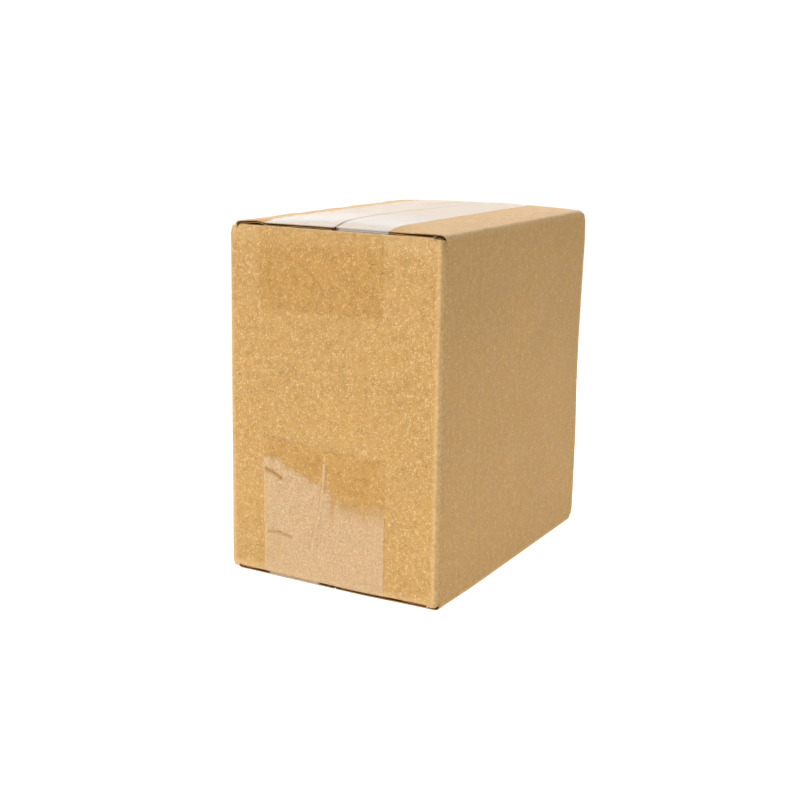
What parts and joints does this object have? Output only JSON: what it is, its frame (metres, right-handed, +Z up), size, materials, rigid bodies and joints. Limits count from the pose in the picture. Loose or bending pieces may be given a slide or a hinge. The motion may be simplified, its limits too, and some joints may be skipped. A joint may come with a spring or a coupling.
{
  "type": "closed cardboard box",
  "caption": "small upright corrugated carton with its flaps folded shut and held by clear tape along the top and bottom seams",
  "frame": {"origin": "on the floor under the middle of the box", "axes": "+Z up; X across the narrow end panels; the front end panel faces -Y"},
  "size_m": [0.108, 0.1562, 0.164],
  "materials": {
    "board": "matt brown kraft liner with fine flecks",
    "tape": "clear glossy film"
  },
  "bodies": {
    "root": {"carton": "board", "top_tape": "tape", "bottom_tape": "tape"}
  },
  "joints": []
}
